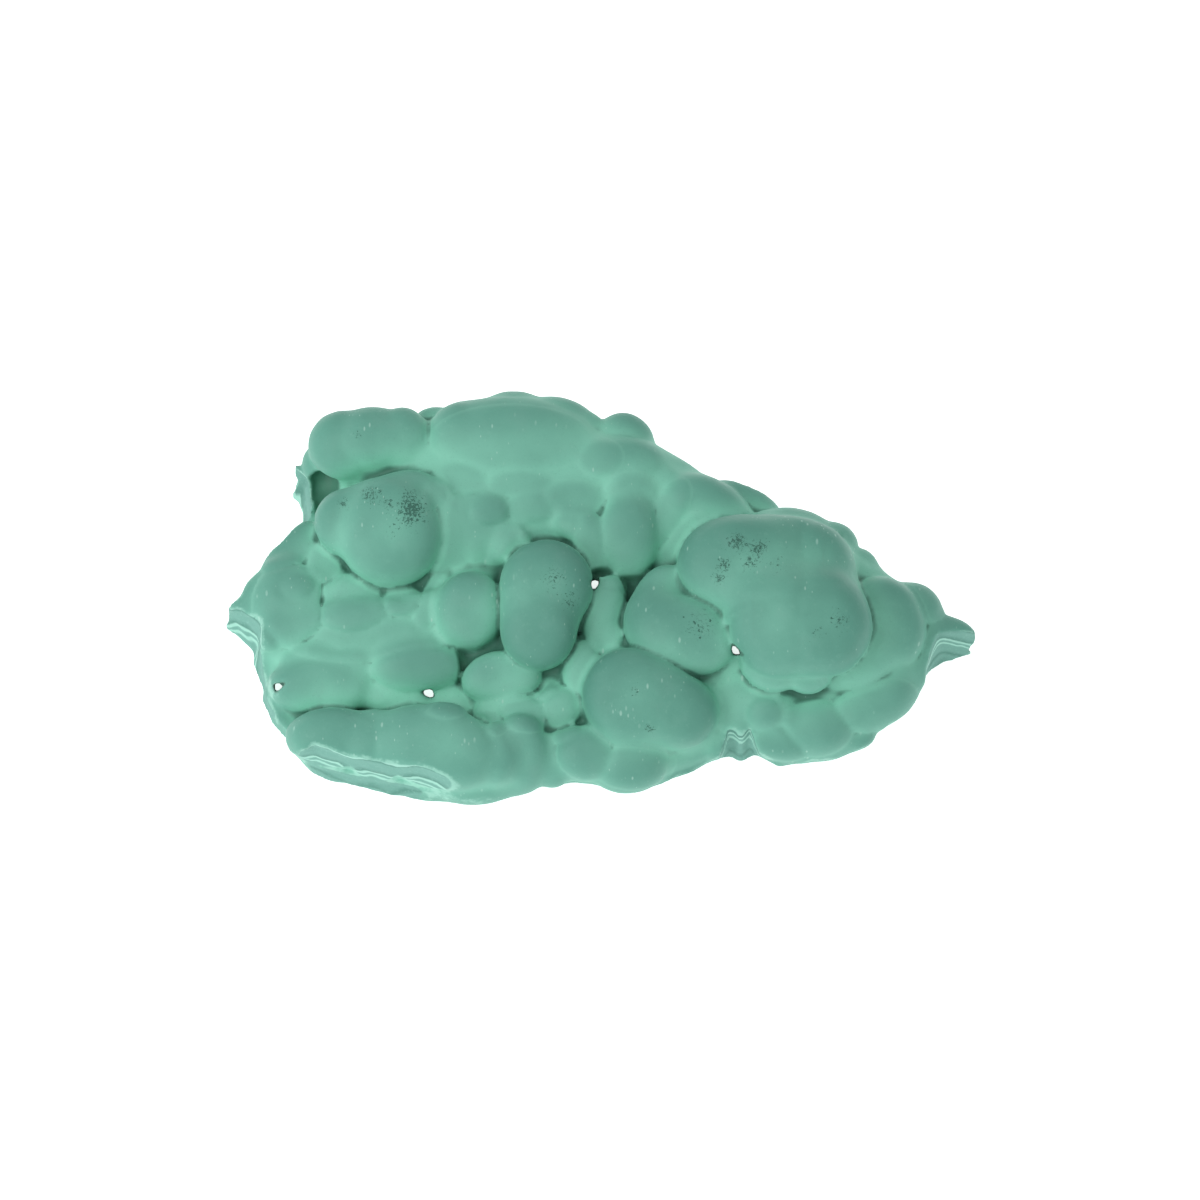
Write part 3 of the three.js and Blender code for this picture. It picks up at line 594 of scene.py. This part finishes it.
    def lid(self):
        """Height of the growth surface over each spot in plan, evened out a little."""
        inside = self.growth < 0
        found = inside.any(2)
        top = self.shape[2] - 1 - np.argmax(inside[:, :, ::-1], axis=2)
        top = np.minimum(top, self.shape[2] - 2)
        here = np.take_along_axis(self.growth, top[:, :, None], 2)[:, :, 0]
        over = np.take_along_axis(self.growth, top[:, :, None] + 1, 2)[:, :, 0]
        height = self.axes[2][top] + self.STEP * np.clip(here / (here - over), 0, 1)
        weight = blurred(found.astype(np.float32)[:, :, None], 2)
        height = blurred((height * found)[:, :, None].astype(np.float32), 2)
        return height / np.maximum(weight, 1e-3) + 0 * self.z


def blurred(block, reach):
    """A block of values averaged over a soft ball, for what lies around each point."""
    taps = np.exp(-0.5 * (np.arange(-2 * reach, 2 * reach + 1) / reach) ** 2)
    taps = (taps / taps.sum()).astype(np.float32)
    for axis in [a for a in range(3) if block.shape[a] > 1]:
        padded = np.pad(block, [(2 * reach, 2 * reach) if a == axis else (0, 0) for a in range(3)],
                        mode="edge")
        total = np.zeros(block.shape, np.float32)
        for i, weight in enumerate(taps):
            span = [slice(None)] * 3
            span[axis] = slice(i, i + block.shape[axis])
            total += weight * padded[tuple(span)]
        block = total
    return block


def sampled(block, points, field):
    """Values of a block at points, blended from the eight values round each."""
    where = (points - field.LOW) / field.STEP
    where = np.clip(where, 0, np.array(block.shape) - 1.001)
    base = np.floor(where).astype(int)
    part = where - base
    total = 0.0
    for i, j, k in CUBE_CORNERS:
        weight = np.prod(np.where([i, j, k], part, 1 - part), axis=1)
        total = total + weight * block[base[:, 0] + i, base[:, 1] + j, base[:, 2] + k]
    return total


def unpinched(block):
    """The same block with each spot filled where stone would meet stone only along a line."""
    inside = block < 0
    while True:
        pinched = np.zeros(block.shape, bool)
        for one, two in ((0, 1), (0, 2), (1, 2)):
            corners = []
            for i, j in ((0, 0), (0, 1), (1, 1), (1, 0)):
                span = [slice(None)] * 3
                span[one] = slice(i, block.shape[one] - 1 + i)
                span[two] = slice(j, block.shape[two] - 1 + j)
                corners.append(tuple(span))
            a, b, c, d = (inside[corner] for corner in corners)
            crossed = (a == c) & (b == d) & (a != b)
            for corner in corners:
                pinched[corner] |= crossed
        pinched &= ~inside
        if not pinched.any():
            return np.where(inside, np.minimum(block, -0.02), block)
        inside |= pinched


def skinned(field):
    """A closed skin of four-sided faces on the stone's surface."""
    block = field.stone
    inside = block < 0
    counted = np.zeros(tuple(n - 1 for n in block.shape), np.int8)
    for i, j, k in CUBE_CORNERS:
        counted += inside[i:block.shape[0] - 1 + i, j:block.shape[1] - 1 + j,
                          k:block.shape[2] - 1 + k]
    mixed = (counted > 0) & (counted < 8)
    number = np.full(mixed.shape, -1, np.int64)
    number[mixed] = np.arange(mixed.sum())
    total = np.zeros((mixed.sum(), 3))
    count = np.zeros(mixed.sum())
    faces = []
    for axis in range(3):
        one, two = (axis + 1) % 3, (axis + 2) % 3
        low = [slice(None)] * 3
        high = [slice(None)] * 3
        low[axis], high[axis] = slice(0, -1), slice(1, None)
        crossing = inside[tuple(low)] != inside[tuple(high)]
        spots = np.argwhere(crossing)
        keep = ((spots[:, one] > 0) & (spots[:, one] < block.shape[one] - 1)
                & (spots[:, two] > 0) & (spots[:, two] < block.shape[two] - 1))
        spots = spots[keep]
        ahead = spots.copy()
        ahead[:, axis] += 1
        here, there = block[tuple(spots.T)], block[tuple(ahead.T)]
        point = spots.astype(float)
        point[:, axis] += here / (here - there)
        ring = []
        for a, b in ((1, 1), (0, 1), (0, 0), (1, 0)):
            cell = spots.copy()
            cell[:, one] -= a
            cell[:, two] -= b
            ids = number[tuple(cell.T)]
            np.add.at(total, ids, point)
            np.add.at(count, ids, 1)
            ring.append(ids)
        ring = np.stack(ring, 1)
        outward = here < 0
        ring[~outward] = ring[~outward][:, ::-1]
        faces.append(ring)
    points = total / count[:, None] * field.STEP + field.LOW
    return points, np.concatenate(faces)


def one_piece(points, faces):
    """The largest joined skin alone, without crumbs or sealed bubbles."""
    edges = np.sort(np.stack([faces, np.roll(faces, -1, 1)], 2).reshape(-1, 2), 1)
    pairs = (np.lexsort(edges.T) // faces.shape[1]).reshape(-1, 2)
    label = np.arange(len(faces))
    while True:
        joined = label.copy()
        np.minimum.at(joined, pairs.ravel(), np.repeat(label[pairs].min(1), 2))
        joined = joined[joined]
        if (joined == label).all():
            break
        label = joined
    kept = faces[label == np.bincount(label).argmax()]
    used = np.unique(kept)
    number = np.zeros(len(points), int)
    number[used] = np.arange(len(used))
    return points[used], number[kept]


def slope_at(block, points, field):
    """Which way the distance grows at each point."""
    slope = np.zeros_like(points)
    for axis in range(3):
        step = np.zeros(3)
        step[axis] = field.STEP * 0.5
        ahead, behind = (sampled(block, points + side * step, field) for side in (1, -1))
        slope[:, axis] = ahead - behind
    return slope / field.STEP


def carve_stone():
    """The whole specimen as one fine mesh with what each point of it knows about itself."""
    field = StoneField()
    points, faces = one_piece(*skinned(field))
    for _ in range(3):
        slope = slope_at(field.stone, points, field)
        off = sampled(field.stone, points, field)
        move = slope * (off / np.maximum((slope ** 2).sum(1), 0.2))[:, None]
        points = points - np.clip(move, -0.3, 0.3)
    points[:, 2] = np.maximum(points[:, 2], 0.0)

    filled = (field.stone < 0).astype(np.float32)
    near = np.clip(field.stone, -2, 2).astype(np.float32)
    knows = {
        "depth": -sampled(field.growth, points, field),
        "below": sampled(field.lid(), points, field) - points[:, 2],
        "hollow": -sampled(blurred(near, 2), points, field),
        "cap": sampled(field.caps, points, field),
        "worn": sampled(blurred(field.worn.astype(np.float32), 2), points, field),
        "valley": sampled(blurred(filled, 8), points, field) - 0.5,
        "inset": -sampled(field.rim, points, field),
        "chipped": sampled(field.chipped, points, field),
        "scooped": 1 - np.clip(sampled(field.scoop, points, field) / 0.9, 0, 1),
    }
    right = points[:, 0] - SHIFT_X
    level = points - np.array([SHIFT_X, SHIFT_Y, EYE_LEVEL])
    up = level @ SEEN_UP
    out = level @ TO_EYE
    pitted = np.zeros(len(points))
    for px, py, radius, strength in PITTED:
        flat = (right - px) ** 2 + (up - py) ** 2
        close = flat < 1.0
        top = out[close].max() if close.any() else 0.0
        apart = flat + (out - top) ** 2 * 0.3
        pitted = np.maximum(pitted, strength * np.exp(-apart / (radius * radius)))
    knows["pitted"] = pitted
    gap = np.full(len(points), 9.0)
    for corners in GAPS:
        gap = np.minimum(gap, ring_distance(np.array(corners), right, up))
    knows["gap"] = gap

    mesh = bpy.data.meshes.new("malachite_stone")
    mesh.from_pydata((points * MM).tolist(), [], faces.tolist())
    mesh.polygons.foreach_set("use_smooth", [True] * len(mesh.polygons))
    for name, values in knows.items():
        layer = mesh.attributes.new(name, "FLOAT", "POINT")
        layer.data.foreach_set("value", np.asarray(values, np.float32))
    mesh.update()
    stone = bpy.data.objects.new("malachite_stone", mesh)
    bpy.context.scene.collection.objects.link(stone)
    return stone


def tint(red, green, blue):
    """A colour as the eye names it, in the linear values that light adds up in."""
    def linear(value):
        value /= 255
        return value / 12.92 if value <= 0.04045 else ((value + 0.055) / 1.055) ** 2.4
    return (linear(red), linear(green), linear(blue), 1.0)


class Wire:
    """A shader value that can be used in sums."""

    def __init__(self, finish, socket):
        self.finish = finish
        self.socket = socket

    def math(self, operation, *values):
        return self.finish.node("ShaderNodeMath", {"operation": operation},
                                dict(enumerate(values)))

    def __add__(self, other):
        return self.math("ADD", self, other)

    def __radd__(self, other):
        return self.math("ADD", other, self)

    def __sub__(self, other):
        return self.math("SUBTRACT", self, other)

    def __rsub__(self, other):
        return self.math("SUBTRACT", other, self)

    def __mul__(self, other):
        return self.math("MULTIPLY", self, other)

    def __rmul__(self, other):
        return self.math("MULTIPLY", other, self)

    def __truediv__(self, other):
        return self.math("DIVIDE", self, other)

    def between(self, low, high):
        """0 below low, 1 above high, and a soft step in between."""
        return self.finish.node(
            "ShaderNodeMapRange", {"interpolation_type": "SMOOTHSTEP", "clamp": True},
            {"Value": self, "From Min": low, "From Max": high, "To Min": 0.0, "To Max": 1.0})


class Finish:
    """A material and the one way its nodes are added."""

    def __init__(self, name):
        self.material = bpy.data.materials.new(name)
        self.material.use_nodes = True
        self.tree = self.material.node_tree
        self.shader = self.tree.nodes["Principled BSDF"]

    def node(self, kind, settings, sockets, out=0):
        node = self.tree.nodes.new(kind)
        for key, value in settings.items():
            if key == "stops":
                ramp = node.color_ramp
                while len(ramp.elements) < len(value):
                    ramp.elements.new(0.5)
                for stop, (place, colour) in zip(ramp.elements, value):
                    stop.position = place
                    stop.color = colour
            else:
                setattr(node, key, value)
        for key, value in sockets.items():
            self.feed(node.inputs[key], value)
        return Wire(self, node.outputs[out])

    def feed(self, socket, value):
        if isinstance(value, Wire):
            self.tree.links.new(value.socket, socket)
        else:
            socket.default_value = value

    def blend(self, share, first, second, way="MIX"):
        return self.node("ShaderNodeMix", {"data_type": "RGBA", "blend_type": way},
                         {0: share, 6: first, 7: second}, 2)

    def grain(self, where, size, detail=2.0, rough=0.5, warp=0.0):
        return self.node("ShaderNodeTexNoise", {},
                         {"Vector": where, "Scale": 1.0 / size, "Detail": detail,
                          "Roughness": rough, "Distortion": warp})

    def known(self, name):
        return self.node("ShaderNodeAttribute", {"attribute_name": name}, {}, "Fac")


def malachite_finish():
    f = Finish("malachite")
    metres = f.node("ShaderNodeTexCoord", {}, {}, "Object")
    mm = f.node("ShaderNodeVectorMath", {"operation": "SCALE"}, {0: metres, "Scale": 1000.0})
    depth = f.known("depth")
    below = f.known("below")
    hollow = f.known("hollow")
    valley = f.known("valley")
    pitted = f.known("pitted")
    cap = f.known("cap")
    worn = f.known("worn")
    gap = f.known("gap")
    inset = f.known("inset")
    chipped = f.known("chipped")
    scooped = f.known("scooped")

    broad = f.grain(mm, 16.0, 2.0)
    cloud = f.grain(mm, 5.0, 4.0, 0.55)
    fine = f.grain(mm, 0.9, 3.0, 0.6)
    dust = f.grain(mm, 0.3, 2.0)

    # Green skin: greyer and darker on the crowns, paler and greener lower down. The paler lower
    # skin is partly its own colour and partly painted sheen.
    low = (valley * 1.6 + (cloud - 0.5) * 0.18 + (broad - 0.5) * 0.35).between(-0.36, 0.22)
    skin = f.blend(low, tint(96, 158, 141), tint(134, 206, 182))
    # Tall domes' skin painted greyer and darker, each by its own share.
    skin = f.blend(worn * (1 - low * 0.5) * 0.75, skin, tint(76, 134, 119))
    skin = f.blend(cloud.between(0.52, 0.75) * 0.22, skin, tint(112, 160, 148))
    skin = f.blend(fine.between(0.55, 0.8) * 0.12, skin, tint(146, 200, 182))
    skin = f.blend((1 - dust).between(0.58, 0.75) * 0.16, skin, tint(78, 134, 118))
    # Cushion tops a little darker and a paler rim round each: partly the skin's own colour, partly
    # painted sheen.
    skin = f.blend(cap.between(0.35, 0.95) * 0.3, skin, tint(92, 150, 134))
    brink = cap.between(0.02, 0.12) * (1 - cap.between(0.12, 0.40))
    skin = f.blend(brink * 0.16, skin, tint(140, 206, 184))
    # Painted shade: dark lines along the creases between lumps.
    crease = (hollow + (fine - 0.5) * 0.03).between(0.18, 0.42)
    skin = f.blend(crease * 0.85, skin, tint(58, 106, 90))
    # Painted shade inside the scooped hollows.
    skin = f.blend(scooped.between(0.1, 0.9) * 0.75, skin, tint(72, 128, 106))

    # Dark pitted clusters, and pale nicks scattered over the skin.
    worm = f.grain(mm, 0.42, 3.0, 0.7, 0.8)
    speck = (worm + pitted * 0.30).between(0.74, 0.80)
    skin = f.blend(speck * 0.8, skin, tint(40, 84, 72))
    patchy = f.grain(mm, 9.0, 2.0).between(0.46, 0.60)
    for turn, size in ((0.6, 0.55), (-0.9, 0.42), (0.1, 1.0)):
        laid = f.node("ShaderNodeMapping", {"vector_type": "POINT"},
                      {"Vector": mm, "Rotation": (0.0, 0.0, turn),
                       "Scale": (size, size * 0.4, size * 0.6)})
        nick = f.node("ShaderNodeTexVoronoi", {"feature": "F1"}, {"Vector": laid, "Scale": 1.0})
        skin = f.blend((1 - nick.between(0.05, 0.12)) * patchy * 0.5, skin, tint(172, 214, 200))

    # Broken faces: bands that run below the top edge, as the crust grew.
    wave = below + (f.grain(mm, 4.0, 2.0) - 0.5) * 1.1 + (f.grain(mm, 1.2, 2.0) - 0.5) * 0.35
    wave = wave + chipped * 3.7
    mint, teal, deep = tint(152, 206, 190), tint(108, 162, 149), tint(84, 138, 125)
    pale_teal = tint(150, 202, 187)
    bands = f.node("ShaderNodeValToRGB", {"stops": [
        (0.000, pale_teal), (0.030, pale_teal), (0.045, deep), (0.075, teal), (0.230, teal),
        (0.330, deep), (0.352, mint), (0.380, mint), (0.396, teal), (0.428, teal), (0.442, mint),
        (0.465, mint), (0.485, teal), (0.640, teal), (0.700, deep), (0.760, teal), (1.000, deep)]},
        {"Fac": wave / 14.0})
    fibre = f.grain(mm, 0.5, 3.0, 0.7)
    # A thin pale chipped line where the skin stops at the break.
    chips = f.grain(mm, 2.6, 3.0, 0.6)
    edge = (1 - (inset + (fibre - 0.5) * 0.5).between(0.06, 0.36)) * chips.between(0.40, 0.58)
    skin = f.blend(edge * 0.55, skin, tint(156, 210, 193))
    bands = f.blend((fibre - 0.5).between(0.0, 0.3) * 0.3, bands, tint(156, 206, 192))
    opened = (depth + (fine - 0.5) * 0.25).between(0.30, 0.50)
    colour = f.blend(opened, skin, bands)
    # Painted shade on the walls of the little gaps through the stone.
    colour = f.blend((1 - gap.between(0.15, 0.4)) * 0.6, colour, tint(70, 104, 90))

    rough = 0.55 + (cloud - 0.5) * 0.2 + opened * 0.15
    height = fine * 0.4 + dust * 0.3 - speck * 0.9 + opened * fibre * 0.8
    normal = f.node("ShaderNodeBump", {}, {"Strength": 0.3, "Distance": 0.0002, "Height": height})
    f.feed(f.shader.inputs["Base Color"], colour)
    f.feed(f.shader.inputs["Roughness"], rough)
    f.feed(f.shader.inputs["Normal"], normal)
    f.shader.inputs["Specular IOR Level"].default_value = 0.3
    return f.material


def pale_floor():
    mesh = bpy.data.meshes.new("floor")
    half, drop = 6.0, -0.0002
    corners = [(-half, -half, drop), (half, -half, drop), (half, half, drop), (-half, half, drop)]
    mesh.from_pydata(corners, [], [(0, 1, 2, 3)])
    floor = bpy.data.objects.new("floor", mesh)
    bpy.context.scene.collection.objects.link(floor)
    f = Finish("floor_paper")
    f.shader.inputs["Base Color"].default_value = (0.92, 0.92, 0.92, 1)
    f.shader.inputs["Roughness"].default_value = 0.9
    f.shader.inputs["Specular IOR Level"].default_value = 0.1
    f.shader.inputs["Emission Color"].default_value = (1, 1, 1, 1)
    f.shader.inputs["Emission Strength"].default_value = 0.8
    mesh.materials.append(f.material)


def studio():
    scene = bpy.context.scene
    world = bpy.data.worlds.new("soft_room")
    scene.world = world
    world.use_nodes = True
    world.node_tree.nodes["Background"].inputs["Color"].default_value = (1, 1, 1, 1)
    world.node_tree.nodes["Background"].inputs["Strength"].default_value = 0.62
    scene.view_settings.view_transform = "Standard"
    for name, where, size, power in (
            ("soft_left", (-0.28, -0.15, 0.28), 0.35, 0.80),
            ("soft_front", (-0.3, -0.6, 0.8), 0.7, 0.22),
            ("soft_top", (-0.2, 0.1, 1.0), 0.8, 0.22)):
        lamp = bpy.data.lights.new(name, "AREA")
        lamp.size = size
        lamp.energy = power
        holder = bpy.data.objects.new(name, lamp)
        holder.location = where
        aim = -holder.location
        holder.rotation_euler = aim.to_track_quat("-Z", "Y").to_euler()
        scene.collection.objects.link(holder)

    camera = bpy.data.cameras.new("camera")
    camera.sensor_width = 36.0
    camera.lens = 450.0
    camera.clip_start = 0.01
    eye = bpy.data.objects.new("camera", camera)
    aim = placed(0, 0, EYE_LEVEL) * MM
    eye.location = aim + TO_EYE * EYE_AWAY
    eye.rotation_euler = (math.pi / 2 - EYE_RISE, 0, 0)
    scene.collection.objects.link(eye)
    scene.camera = eye


stone = carve_stone()
stone.data.materials.append(malachite_finish())
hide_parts("malachite")
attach(stone, "root")
pale_floor()
studio()
